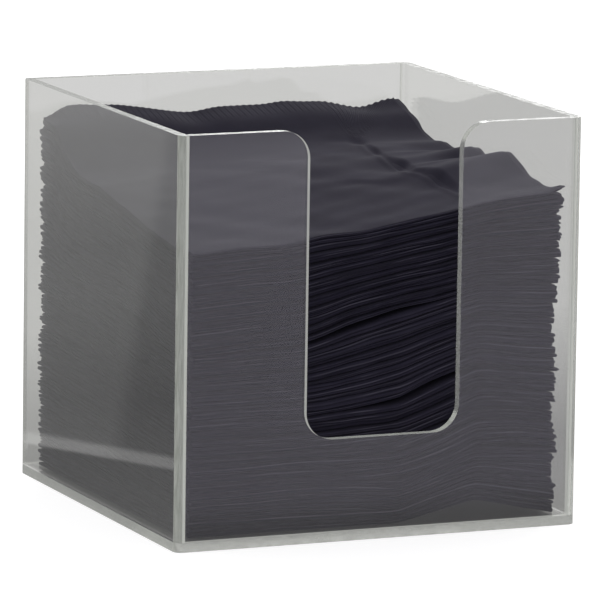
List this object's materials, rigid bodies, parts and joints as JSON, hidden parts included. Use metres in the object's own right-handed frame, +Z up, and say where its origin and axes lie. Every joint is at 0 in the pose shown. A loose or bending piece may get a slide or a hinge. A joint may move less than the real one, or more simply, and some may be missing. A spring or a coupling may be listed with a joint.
{
  "type": "napkin dispenser",
  "caption": "Open-topped clear acrylic box with a rounded finger slot in its front panel, holding a pile of dark quarter-folded paper napkins.",
  "frame": {"origin": "centre of the footprint, on the underside of the base panel", "axes": "+Z up; -Y is the front, with the finger slot; +X is to the right of someone facing the slot from outside, looking along +Y"},
  "size_m": [0.184, 0.184, 0.1755],
  "materials": {
    "acrylic": "polished",
    "napkin": "matte"
  },
  "bodies": {
    "box": {"base_panel": "acrylic", "front_panel": "acrylic", "back_panel": "acrylic", "left_panel": "acrylic", "right_panel": "acrylic"},
    "pack_1": {"pack_1_napkin_1": "napkin", "pack_1_napkin_2": "napkin", "pack_1_napkin_3": "napkin", "pack_1_napkin_4": "napkin", "pack_1_napkin_5": "napkin", "pack_1_napkin_6": "napkin", "pack_1_napkin_7": "napkin", "pack_1_napkin_8": "napkin", "pack_1_napkin_9": "napkin"},
    "pack_2": {"pack_2_napkin_1": "napkin", "pack_2_napkin_2": "napkin", "pack_2_napkin_3": "napkin", "pack_2_napkin_4": "napkin", "pack_2_napkin_5": "napkin", "pack_2_napkin_6": "napkin", "pack_2_napkin_7": "napkin", "pack_2_napkin_8": "napkin", "pack_2_napkin_9": "napkin", "pack_2_napkin_10": "napkin", "pack_2_napkin_11": "napkin", "pack_2_napkin_12": "napkin"},
    "pack_3": {"pack_3_napkin_1": "napkin", "pack_3_napkin_2": "napkin", "pack_3_napkin_3": "napkin", "pack_3_napkin_4": "napkin", "pack_3_napkin_5": "napkin", "pack_3_napkin_6": "napkin", "pack_3_napkin_7": "napkin", "pack_3_napkin_8": "napkin", "pack_3_napkin_9": "napkin", "pack_3_napkin_10": "napkin", "pack_3_napkin_11": "napkin", "pack_3_napkin_12": "napkin"},
    "pack_4": {"pack_4_napkin_1": "napkin", "pack_4_napkin_2": "napkin", "pack_4_napkin_3": "napkin", "pack_4_napkin_4": "napkin", "pack_4_napkin_5": "napkin", "pack_4_napkin_6": "napkin", "pack_4_napkin_7": "napkin", "pack_4_napkin_8": "napkin", "pack_4_napkin_9": "napkin", "pack_4_napkin_10": "napkin", "pack_4_napkin_11": "napkin", "pack_4_napkin_12": "napkin", "pack_4_napkin_13": "napkin", "pack_4_napkin_14": "napkin", "pack_4_napkin_15": "napkin"},
    "napkin_1": {"loose_napkin_1": "napkin"},
    "napkin_2": {"loose_napkin_2": "napkin"},
    "napkin_3": {"loose_napkin_3": "napkin"},
    "napkin_4": {"loose_napkin_4": "napkin"}
  },
  "joints": [
    {"name": "lift_pack_1", "type": "slide", "parent": "box", "child": "pack_1", "axis": [0, 0, 1], "range_m": [0, 0.173]},
    {"name": "lift_pack_2", "type": "slide", "parent": "pack_1", "child": "pack_2", "axis": [0, 0, 1], "range_m": [0, 0.154]},
    {"name": "lift_pack_3", "type": "slide", "parent": "pack_2", "child": "pack_3", "axis": [0, 0, 1], "range_m": [0, 0.125]},
    {"name": "lift_pack_4", "type": "slide", "parent": "pack_3", "child": "pack_4", "axis": [0, 0, 1], "range_m": [0, 0.096]},
    {"name": "lift_napkin_1", "type": "slide", "parent": "pack_4", "child": "napkin_1", "axis": [0, 0, 1], "range_m": [0, 0.061]},
    {"name": "lift_napkin_2", "type": "slide", "parent": "napkin_1", "child": "napkin_2", "axis": [0, 0, 1], "range_m": [0, 0.059]},
    {"name": "lift_napkin_3", "type": "slide", "parent": "napkin_2", "child": "napkin_3", "axis": [0, 0, 1], "range_m": [0, 0.057]},
    {"name": "lift_napkin_4", "type": "slide", "parent": "napkin_3", "child": "napkin_4", "axis": [0, 0, 1], "range_m": [0, 0.055]}
  ]
}
